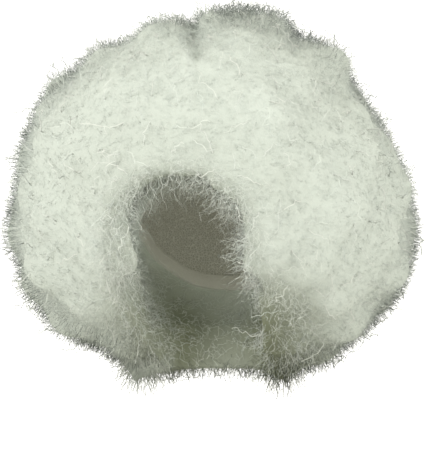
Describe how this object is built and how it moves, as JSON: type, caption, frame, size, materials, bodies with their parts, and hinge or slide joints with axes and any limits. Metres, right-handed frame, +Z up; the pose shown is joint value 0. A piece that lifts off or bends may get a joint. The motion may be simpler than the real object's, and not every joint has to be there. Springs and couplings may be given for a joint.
{
  "type": "afro wig",
  "caption": "Large round afro wig of frizzy hair in four parted masses on a thin dome cap with ear tabs and a bound edge, open below and at the face.",
  "frame": {"origin": "crown of the cap: the point where the top of the wearer's head touches the inside of the cap", "axes": "+Z up, face opening towards -Y, the wearer's left side at +X"},
  "size_m": [0.4095, 0.3814, 0.3773],
  "materials": {
    "frizzy_hair": "white crimped synthetic fibre, matt with a faint sheen",
    "cap_net": "off-white stretch net with sewn rows of hair weft",
    "ribbon": "off-white folded ribbon, stitched"
  },
  "bodies": {
    "root": {"cap": "cap_net", "edge_binding": "ribbon", "hair_crown": "frizzy_hair", "hair_left": "frizzy_hair", "hair_right": "frizzy_hair", "hair_back": "frizzy_hair"}
  },
  "joints": []
}
